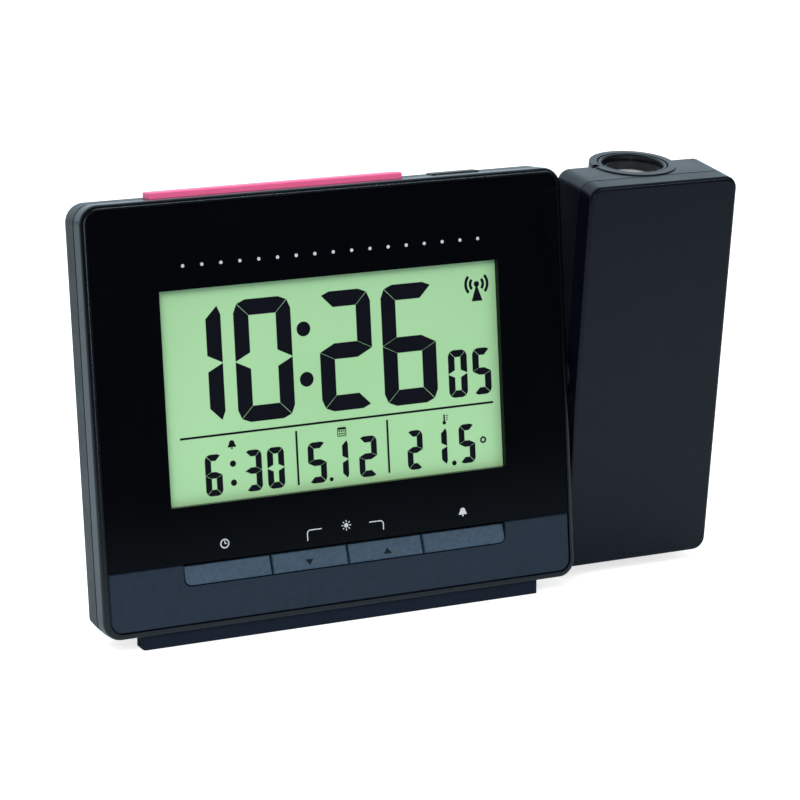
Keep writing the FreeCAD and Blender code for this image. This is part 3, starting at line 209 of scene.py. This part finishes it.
MATERIALS = {
    "case": moulded("case_plastic", tone(7, 10, 16), 0.24, 0.4, depth=0.003),
    "rear": moulded("rear_plastic", tone(14, 18, 24), 0.4, 0.35),
    "base": moulded("base_plastic", tone(24, 33, 46), 0.42, 0.08),
    "face": glossy("face_gloss", tone(5, 6, 9), 0.06, 0.08),
    "strip": moulded("strip_plastic", tone(26, 37, 54), 0.45, 0.35, grain=0.4, vary=0.12, patch=1.6),
    "key": moulded("key_plastic", tone(53, 73, 91), 0.42, 0.45, grain=0.3, vary=0.22, patch=0.9),
    "light_key": moulded("light_key_plastic", tone(24, 30, 34), 0.4, 0.45, grain=0.3),
    "snooze": moulded(
        "snooze_plastic", tone(255, 108, 160), 0.35, 0.4, grain=0.3, depth=0.01, vary=0.05
    ),
    "arm_front": moulded("arm_front_plastic", tone(6, 7, 21), 0.32, 0.25, depth=0.01),
    "arm_rear": moulded("arm_rear_plastic", tone(12, 16, 24), 0.34, 0.45),
    "dark": moulded("dark_plastic", tone(22, 22, 26), 0.45, 0.4),
    "white": moulded("white_plastic", tone(222, 224, 218), 0.4, 0.4),
    "guide": glossy("guide_acrylic", tone(205, 225, 208), 0.25, 0.5),
    "board": glossy("board_mask", tone(18, 88, 46), 0.3, 0.5),
    "steel": metal("plated_steel", tone(196, 196, 200)),
    "ferrite": moulded("ferrite", tone(44, 44, 48), 0.6, 0.3, grain=0.15),
    "copper": metal("copper_wire", tone(205, 130, 80), stretch=(6, 1, 1)),
    "rubber": moulded("rubber", tone(28, 28, 30), 0.75, 0.25, grain=0.2, depth=0.03),
    "cell": glossy("cell_sleeve", tone(70, 120, 105), 0.25, 0.5),
    # Glass made milky white as a painted reflection: the white that the clear lens shows by reflection is
    # given to its body, and the bright coat adds real gloss.
    "lens": clear("lens_glass", (0.97, 0.98, 0.98), transmission=0.25, Coat_Weight=1.0, Coat_IOR=2.4),
    "lamp": clear("lamp_resin", (0.85, 0.12, 0.1), rough=0.05, ior=1.5),
    "slide": glossy("slide_glass", tone(90, 95, 100), 0.1, 0.5),
    "film": lcd_surface(),
    "segment": glossy("segment_ink", tone(13, 13, 23), 0.4, 0.1),
    "arrow": moulded("arrow_print", tone(14, 18, 24), 0.5, 0.2, grain=0.2, depth=0.005),
    "print": moulded("white_print", tone(205, 208, 214), 0.5, 0.3, grain=0.2, depth=0.005),
}

FINISHES = {
    "case": ["front_case"],
    "rear": ["rear_case", "battery_door"],
    "base": ["base"],
    "face": ["front_panel"],
    "strip": ["control_strip"],
    "key": ["mode_key", "dim_down_key", "dim_up_key", "alarm_key"],
    "light_key": ["light_key"],
    "snooze": ["snooze_bar"],
    "film": ["lcd_glass"],
    "white": ["display_frame", "aerial_clips"],
    "guide": ["light_guide"],
    "board": ["main_board", "lamp_board"],
    "steel": [
        "board_screws",
        "case_screws",
        "base_screws",
        "arm_screws",
        "battery_contacts",
        "battery_springs",
        "pivot_shaft",
        "pivot_clip",
        "jack_pin",
    ],
    "dark": [
        "key_switches",
        "top_switches",
        "controller_chip",
        "sounder",
        "power_jack",
        "optics_tube",
        "pivot_bush",
        "lens_cell",
    ],
    "ferrite": ["aerial_rod"],
    "copper": ["aerial_coil"],
    "rubber": ["rubber_pads", "display_connector", "friction_washer"],
    "cell": ["battery_cells"],
    "arm_front": ["arm_front"],
    "arm_rear": ["arm_rear", "focus_ring"],
    "lens": ["projector_lens", "condenser_lens"],
    "lamp": ["projector_lamp"],
    "slide": ["slide_display"],
}

for finish, nodes in FINISHES.items():
    for node in nodes:
        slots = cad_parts[node].data.materials
        slots.clear()
        slots.append(MATERIALS[finish])


# Making the scene's own pieces.


def add_piece(name, work, finish, body):
    """Turns the bmesh into a piece that has the finish and rides on the body."""
    bmesh.ops.recalc_face_normals(work, faces=work.faces)
    mesh = bpy.data.meshes.new(name)
    work.to_mesh(mesh)
    work.free()
    mesh.materials.append(MATERIALS[finish])
    piece = bpy.data.objects.new(name, mesh)
    bpy.context.scene.collection.objects.link(piece)
    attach(piece, body)


def add_plate(work, front_points, back_points):
    """A thin closed plate between two outlines with the same number of points."""
    front = [work.verts.new(point) for point in front_points]
    back = [work.verts.new(point) for point in back_points]
    work.faces.new(front)
    work.faces.new(back[::-1])
    for i in range(len(front)):
        j = (i + 1) % len(front)
        work.faces.new((front[i], back[i], back[j], front[j]))


# How deep in the case the display's and the face's surfaces lie, and how thick the marks on them are.
GLASS_DEPTH = 2.0
FACE_DEPTH = 0.2
PRINT = 0.04


def add_mark(name, outlines, depth, finish):
    """A thin print on the surface at that depth in the case; each outline is a list of (x, v)."""
    work = bmesh.new()
    for outline in outlines:
        front = [case_point(x, depth - PRINT, v) for x, v in outline]
        add_plate(work, front, [case_point(x, depth, v) for x, v in outline])
    add_piece(name, work, finish, "case")


def on_glass(name, outlines):
    """A dark mark on the display."""
    add_mark(name, outlines, GLASS_DEPTH, "segment")


def on_face(name, outlines):
    """A white mark on the black face."""
    add_mark(name, outlines, FACE_DEPTH, "print")


def on_key(name, key, outline):
    """A dark mark laid on a key's sloped face; each point drops onto the face from in front of it."""
    in_front = -20
    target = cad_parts[key]
    step_in = case_point(0, 1, 0) - case_point(0, 0, 0)
    to_local = target.matrix_world.inverted()
    way = (to_local.to_3x3() @ step_in).normalized()
    corners = []
    for x, v in outline:
        hit, place, _, _ = target.ray_cast(to_local @ case_point(x, in_front, v), way)
        if not hit:
            raise RuntimeError(f"{name} misses {key}")
        corners.append(target.matrix_world @ place)
    work = bmesh.new()
    raised = step_in.normalized() * PRINT * MM
    add_plate(work, [corner - raised for corner in corners], corners)
    add_piece(name, work, "arrow", key)


# Outlines, as lists of (x, v).


def on_circle(x, v, radius, degrees):
    """The point at that angle on a circle about (x, v)."""
    angle = math.radians(degrees)
    return (x + radius * math.cos(angle), v + radius * math.sin(angle))


def corner_arc(x, v, radius, start, steps):
    """Points of a quarter circle about (x, v), from the start angle in degrees."""
    return [on_circle(x, v, radius, start + 90 * i / steps) for i in range(steps + 1)]


def disc(x, v, radius, steps=24):
    """A round dot."""
    return [on_circle(x, v, radius, 360 * i / steps) for i in range(steps)]


def ring(x, v, radius, thick, start=0, end=360, steps=24):
    """A ring or part of one, cut into flat pieces."""
    inner, outer = radius - thick / 2, radius + thick / 2
    angles = [start + (end - start) * i / steps for i in range(steps + 1)]
    pieces = []
    for a, b in zip(angles, angles[1:]):
        corners = ((outer, a), (outer, b), (inner, b), (inner, a))
        pieces.append([on_circle(x, v, reach, angle) for reach, angle in corners])
    return pieces


def bar(x0, v0, x1, v1, thick):
    """A straight line of that thickness."""
    dx, dv = x1 - x0, v1 - v0
    long = math.hypot(dx, dv)
    nx, nv = -dv / long * thick / 2, dx / long * thick / 2
    return [(x0 + nx, v0 + nv), (x0 - nx, v0 - nv), (x1 - nx, v1 - nv), (x1 + nx, v1 + nv)]


# The seven bars of a figure are a at the top and b to f round it clockwise, with g in the middle.
BARS = {
    "0": "abcdef",
    "1": "bc",
    "2": "abged",
    "3": "abgcd",
    "5": "afgcd",
    "6": "afgedc",
}


def segment_outlines(figure, left, right, bottom, top, stroke, gap):
    """The bars of a seven-bar figure in a box, mitred where they meet, and round at its outer corners."""
    width, height = right - left, top - bottom
    middle, half = height / 2, stroke / 2
    rounded = stroke * 0.8
    arc = rounded * 0.29  # from the box's sides to the middle of the round corner
    g = gap / 2
    mitre = g * 1.4
    tip, tip_side = g * 1.6, g * 0.2

    upper_left = [
        (0, middle + mitre),
        (stroke, middle + half + g),
        (stroke, height - stroke - mitre),
        (arc - tip_side, height - arc - tip),
        (0, height - rounded),
    ]
    upper = [
        (rounded, height),
        (arc + tip, height - arc + tip_side),
        (stroke + mitre, height - stroke),
        (width - stroke - mitre, height - stroke),
        (width - arc - tip, height - arc + tip_side),
        (width - rounded, height),
    ]
    central = [
        (tip, middle),
        (stroke + g, middle + half),
        (width - stroke - g, middle + half),
        (width - tip, middle),
        (width - stroke - g, middle - half),
        (stroke + g, middle - half),
    ]

    def flip_x(points):
        return [(width - x, v) for x, v in points][::-1]

    def flip_v(points):
        return [(x, height - v) for x, v in points][::-1]

    shapes = {
        "a": upper,
        "b": flip_x(upper_left),
        "c": flip_x(flip_v(upper_left)),
        "d": flip_v(upper),
        "e": flip_v(upper_left),
        "f": upper_left,
        "g": central,
    }
    return [[(left + x, bottom + v) for x, v in shapes[letter]] for letter in BARS[figure]]


def bell(x, v, size):
    """A plain bell, about size across."""
    half = size / 2
    dome = [on_circle(x, v + half * 0.25, half * 0.62, angle) for angle in range(0, 181, 20)]
    rim = v - half * 0.62
    clapper = disc(x, v - half * 0.85, half * 0.2, 12)
    return [dome + [(x - half, rim), (x + half, rim)], clapper]


def sun(x, v, size):
    """A disc with eight rays."""
    near, far = size * 0.36, size * 0.56
    angles = range(0, 360, 45)
    rays = [bar(*on_circle(x, v, near, a), *on_circle(x, v, far, a), size * 0.1) for a in angles]
    return [disc(x, v, size * 0.24)] + rays


def calendar_mark(x, v, size):
    """A small page with a heavy top bar and six squares."""
    half, line = size / 2, size * 0.09
    top, bottom = v + half * 0.72, v - half
    shapes = [
        bar(x - half, top, x + half, top, size * 0.26),
        bar(x - half, bottom, x + half, bottom, line),
        bar(x - half, bottom, x - half, top, line),
        bar(x + half, bottom, x + half, top, line),
    ]
    for column in (-1, 0, 1):
        for row in (0, 1):
            cx, cv = x + column * half * 0.55, v + half * (0.12 - 0.6 * row)
            shapes.append(bar(cx - half * 0.17, cv, cx + half * 0.17, cv, half * 0.34))
    return shapes


def thermometer(x, v, size):
    """A bulb and tube with three marks beside it."""
    half, near, far = size / 2, size * 0.2, size * 0.42
    bulb = disc(x, v - half * 0.72, size * 0.2, 16)
    tube = bar(x, v - half * 0.6, x, v + half, size * 0.17)
    heights = [v + half * up for up in (0.75, 0.3, -0.15)]
    return [bulb, tube] + [bar(x + near, high, x + far, high, size * 0.08) for high in heights]


def bracket(inner, outer, bottom):
    """A line that runs out beside the sun, turns a round corner and goes down to the bottom."""
    top, corner, line = 20.1, 0.8, 0.24
    side, start = (1, 0) if outer > inner else (-1, 90)
    x, v = outer - side * corner, top - corner
    lines = [bar(inner, top, x, top, line), bar(outer, v, outer, bottom, line)]
    return lines + ring(x, v, corner, line, start, start + 90, 6)


# The display. A figure is given as (figure, left, right, bottom, top).

TIME = [
    ("1", -42.1, -28.0, 47.4, 76.0),
    ("0", -24.8, -10.4, 47.1, 75.9),
    ("2", -3.4, 10.1, 47.3, 75.8),
    ("6", 12.9, 26.9, 46.9, 75.9),
]
SECONDS = [
    ("0", 29.9, 34.9, 47.2, 58.7),
    ("5", 36.4, 41.3, 47.3, 58.6),
]
LOWER = [
    ("6", -33.85, -29.6, 30.7, 40.5),
    ("3", -23.9, -19.6, 30.7, 40.5),
    ("0", -18.2, -13.9, 30.7, 40.5),
    ("5", -7.8, -3.1, 30.7, 40.5),
    ("1", -1.9, 2.6, 30.7, 40.5),
    ("2", 5.4, 10.1, 30.7, 40.5),
    ("2", 18.1, 22.2, 31.0, 40.5),
    ("1", 24.6, 28.7, 31.0, 40.5),
    ("5", 31.9, 36.2, 31.0, 40.5),
]


def add_figures(prefix, figures, stroke, gap):
    """The figures as pieces numbered from 0, with bars of that stroke and that gap between them."""
    for index, figure in enumerate(figures):
        on_glass(f"{prefix}_{index}", segment_outlines(*figure, stroke, gap))


add_figures("time_figure", TIME, 3.75, 0.1)
on_glass("time_colon", [disc(-7.3, 67.6, 1.75), disc(-7.1, 55.65, 1.75)])
add_figures("seconds_figure", SECONDS, 1.7, 0.1)
LINE = 0.5
on_glass(
    "display_lines",
    [
        bar(-39.65, 44.9, 41.5, 45.1, LINE),
        bar(-10.5, 30.8, -10.5, 43.7, LINE),
        bar(13.1, 31.0, 13.1, 43.8, LINE),
    ],
)
add_figures("lower_figure", LOWER, 1.5, 0.09)
on_glass(
    "lower_dots",
    [disc(-26.85, 37.8, 0.75), disc(-26.85, 33.3, 0.75), disc(30.4, 31.4, 0.6), disc(-2.0, 31.2, 0.5)],
)
on_glass("degree_ring", ring(38.4, 36.2, 0.62, 0.42))

# The radio mark is a mast with waves on both sides.
MAST_X, MAST_TOP, MAST_FOOT, MAST_HALF = 38.35, 74.1, 70.0, 1.45
WAVE_LINE = 0.7
mast = [(MAST_X, MAST_TOP), (MAST_X - MAST_HALF, MAST_FOOT), (MAST_X + MAST_HALF, MAST_FOOT)]
waves = []
for reach in (1.7, 2.9):
    for start, end in ((-42, 42), (138, 222)):
        waves += ring(MAST_X, MAST_TOP, reach, WAVE_LINE, start, end, 8)
on_glass("radio_mark", [mast, disc(MAST_X, MAST_TOP, 0.7)] + waves)

on_glass("alarm_field_mark", bell(-26.9, 42.4, 2.2))
on_glass("date_field_mark", calendar_mark(1.2, 42.3, 2.1))
on_glass("warmth_field_mark", thermometer(28.2, 42.3, 2.3))

# The face and the keys.

CLOCK_X, CLOCK_V, HAND = -30.7, 19.6, 0.22
hands = [
    bar(CLOCK_X, CLOCK_V, CLOCK_X, CLOCK_V + 0.7, HAND),
    bar(CLOCK_X, CLOCK_V, CLOCK_X + 0.5, CLOCK_V, HAND),
]
on_face("clock_mark", ring(CLOCK_X, CLOCK_V, 1.0, 0.3) + hands)
on_face("bell_mark", bell(31.2, 19.65, 2.2))
on_face("dimmer_mark", sun(0.4, 20.1, 2.2) + bracket(-6.0, -9.7, 17.6) + bracket(6.4, 10.05, 17.9))

DOTS, DOTS_LEFT, DOTS_LONG, DOTS_HIGH = 17, -37.3, 75.6, 85.2
dots = [disc(DOTS_LEFT + DOTS_LONG * i / (DOTS - 1), DOTS_HIGH, 0.42, 12) for i in range(DOTS)]
on_face("dotted_line", dots)

on_key("down_arrow", "dim_down_key", [(-10.6, 13.2), (-8.4, 13.2), (-9.5, 11.8)])
on_key("up_arrow", "dim_up_key", [(9.7, 12.0), (11.9, 12.0), (10.8, 13.4)])


# The line between the arm's two halves, a dark band of painted shadow where the gap between them is
# shaded.

ARM_PIVOT = case_point(0, 6.1, 49.9)
ARM_LEAN = math.radians(6.8)
ARM_LEFT, ARM_RIGHT, ARM_HALF, ARM_CORNER, ARM_SEAM = 62.4, 103.1, 49.2, 3.2, -2.7
SEAM_HALF, SEAM_PROUD = 0.12, 0.04


def arm_point(x, y, z):
    """A point of the arm in the part's frame, in metres; x across, y back and z up along the arm."""
    side = math.cos(ARM_LEAN) * y - math.sin(ARM_LEAN) * z
    up = math.sin(ARM_LEAN) * y + math.cos(ARM_LEAN) * z
    return Vector((x * MM, ARM_PIVOT.y + side * MM, ARM_PIVOT.z + up * MM))


def add_arm_seam_shadow():
    """A fine dark band round the arm where its halves meet, a painted shadow of the shaded gap between
    them.
    """
    work = bmesh.new()
    rows = []
    for y, out in ((-SEAM_HALF, 0), (-SEAM_HALF, SEAM_PROUD), (SEAM_HALF, SEAM_PROUD), (SEAM_HALF, 0)):
        loop = []
        for sx, sz, start in ((1, 1, 0), (-1, 1, 90), (-1, -1, 180), (1, -1, 270)):
            x = (ARM_RIGHT if sx > 0 else ARM_LEFT) - sx * ARM_CORNER
            for px, pz in corner_arc(x, sz * (ARM_HALF - ARM_CORNER), ARM_CORNER + out, start, 6):
                loop.append(work.verts.new(arm_point(px, ARM_SEAM + y, pz)))
        rows.append(loop)
    for first, second in zip(rows, rows[1:] + rows[:1]):
        for k in range(len(first)):
            j = (k + 1) % len(first)
            work.faces.new((first[k], first[j], second[j], second[k]))
    # The band's dark print is painted shadow for the seam's gap.
    add_piece("arm_seam_shadow", work, "arrow", "arm")


add_arm_seam_shadow()


# The camera, at the photograph's viewing angle.

CAMERA_TARGET = (13.42, -20.5, 53.27)
CAMERA_DISTANCE = 738.1
CAMERA_AZIMUTH = math.radians(-25.4)
CAMERA_ELEVATION = math.radians(14.12)
CAMERA_LENS = 140.9
SENSOR = 36.0
CLIP_NEAR, CLIP_FAR = 0.01, 50  # in metres


def face_toward(thing, way):
    """Turns a camera or lamp to look that way."""
    thing.rotation_mode = "QUATERNION"
    thing.rotation_quaternion = way.to_track_quat("-Z", "Y")


def add_camera():
    """The scene's camera, that far from its target."""
    camera = bpy.data.objects.new("camera", bpy.data.cameras.new("camera"))
    bpy.context.scene.collection.objects.link(camera)
    camera.data.lens = CAMERA_LENS
    camera.data.sensor_width = SENSOR
    camera.data.clip_start = CLIP_NEAR
    camera.data.clip_end = CLIP_FAR
    level, up = math.cos(CAMERA_ELEVATION), math.sin(CAMERA_ELEVATION)
    back = Vector((math.sin(CAMERA_AZIMUTH) * level, -math.cos(CAMERA_AZIMUTH) * level, up))
    camera.location = (Vector(CAMERA_TARGET) + back * CAMERA_DISTANCE) * MM
    face_toward(camera, -back)
    bpy.context.scene.camera = camera


add_camera()


# Floor, lamps and background, in metres. Reflections see a bluish studio, dim in front and white at the
# back.

WHITE = (1, 1, 1)
GLOSS_TINT = (0.72, 0.9, 1.0)
FRONT_GLOSS = 0.02
BACK_GLOSS = 1.15
DIFFUSE_LEVEL = 0.5

FLOOR_HALF = 3.0
FLOOR_DROP = 0.0001
FLOOR_PAPER = 0.85
FLOOR_GLOW = 0.7
FLOOR_AHEAD = (-0.3, -0.95, 0)
FLOOR_NEAR, FLOOR_FAR = 0.08, 0.36
FLOOR_BRIGHT, FLOOR_DIM = 0.95, 0.05

LAMP_TARGET = Vector((0.02, 0, 0.05))


def add_floor():
    """A floor, white to the camera but for the clock's shadow, and to other rays darker far ahead."""
    mesh = bpy.data.meshes.new("floor")
    corners = [(sx * FLOOR_HALF, sy * FLOOR_HALF, 0) for sx, sy in ((-1, -1), (1, -1), (1, 1), (-1, 1))]
    mesh.from_pydata(corners, [], [(0, 1, 2, 3)])
    floor = bpy.data.objects.new("floor", mesh)
    floor.location.z = -FLOOR_DROP
    bpy.context.scene.collection.objects.link(floor)
    n = Finish("floor_paper")
    camera_ray = n.add("ShaderNodeLightPath").outputs["Is Camera Ray"]
    ahead = n.add("ShaderNodeVectorMath", {0: n.place, 1: FLOOR_AHEAD}, operation="DOT_PRODUCT")
    far = n.between(ahead.outputs["Value"], 0, 1, start=FLOOR_NEAR, end=FLOOR_FAR)
    bright, dim = shade(GLOSS_TINT, FLOOR_BRIGHT), shade(GLOSS_TINT, FLOOR_DIM)
    paper = n.mix(camera_ray, n.colours(far, (0, bright), (1, dim)), (*shade(WHITE, FLOOR_PAPER), 1))
    n.set(Base_Color=paper, Roughness=0.9, Specular_IOR_Level=0.0)
    glow = n.add("ShaderNodeEmission", {"Strength": n.number("MULTIPLY", camera_ray, FLOOR_GLOW)})
    both = n.add("ShaderNodeAddShader", {0: n.shader.outputs[0], 1: glow.outputs[0]})
    n.feed(n.tree.nodes["Material Output"].inputs["Surface"], both.outputs[0])
    mesh.materials.append(n.material)


def add_world():
    """White to the camera and through glass, and in reflections white at the back and dim in front."""
    world = bpy.data.worlds.new("studio")
    bpy.context.scene.world = world
    world.use_nodes = True
    n = Tree(world.node_tree)
    path = n.add("ShaderNodeLightPath").outputs
    place = n.add("ShaderNodeTexCoord").outputs["Generated"]
    parts = n.add("ShaderNodeSeparateXYZ", {0: place}).outputs
    side = n.between(parts["Y"], FRONT_GLOSS, BACK_GLOSS, start=-0.2, end=0.6)
    clear_view = n.number("MAXIMUM", path["Is Camera Ray"], path["Is Transmission Ray"])
    gloss = n.number("MULTIPLY", path["Is Glossy Ray"], side)
    matte = n.number("MULTIPLY", path["Is Diffuse Ray"], DIFFUSE_LEVEL)
    background = n.tree.nodes["Background"].inputs
    n.feed(background["Strength"], n.number("MAXIMUM", clear_view, n.number("ADD", gloss, matte)))
    n.feed(background["Color"], n.mix(path["Is Glossy Ray"], (*WHITE, 1), (*GLOSS_TINT, 1)))


def add_lamp(name, place, power, wide, high, mirrored):
    """A soft lamp that faces the clock, and either lights it or is mirrored in its gloss."""
    lamp = bpy.data.objects.new(name, bpy.data.lights.new(name, "AREA"))
    lamp.data.energy = power
    lamp.data.shape = "RECTANGLE"
    lamp.data.size = wide
    lamp.data.size_y = high
    lamp.data.color = GLOSS_TINT if mirrored else WHITE
    lamp.location = place
    face_toward(lamp, LAMP_TARGET - Vector(place))
    lamp.visible_glossy = mirrored
    lamp.visible_diffuse = not mirrored
    bpy.context.scene.collection.objects.link(lamp)


add_floor()
add_world()
add_lamp("key_lamp", (-0.5, -0.7, 0.7), power=5.8, wide=0.6, high=0.6, mirrored=False)
add_lamp("top_lamp", (0.1, 0.1, 0.9), power=3.2, wide=0.4, high=0.4, mirrored=False)
add_lamp("fill_lamp", (0.8, -0.6, 0.4), power=1.3, wide=0.6, high=0.6, mirrored=False)
add_lamp("left_strip", (-0.31, -1.16, 0.2), power=2.4, wide=0.08, high=0.6, mirrored=True)
add_lamp("upper_strip", (0.5, -0.88, 0.75), power=3.0, wide=0.8, high=0.07, mirrored=True)
bpy.context.scene.view_settings.view_transform = "Standard"
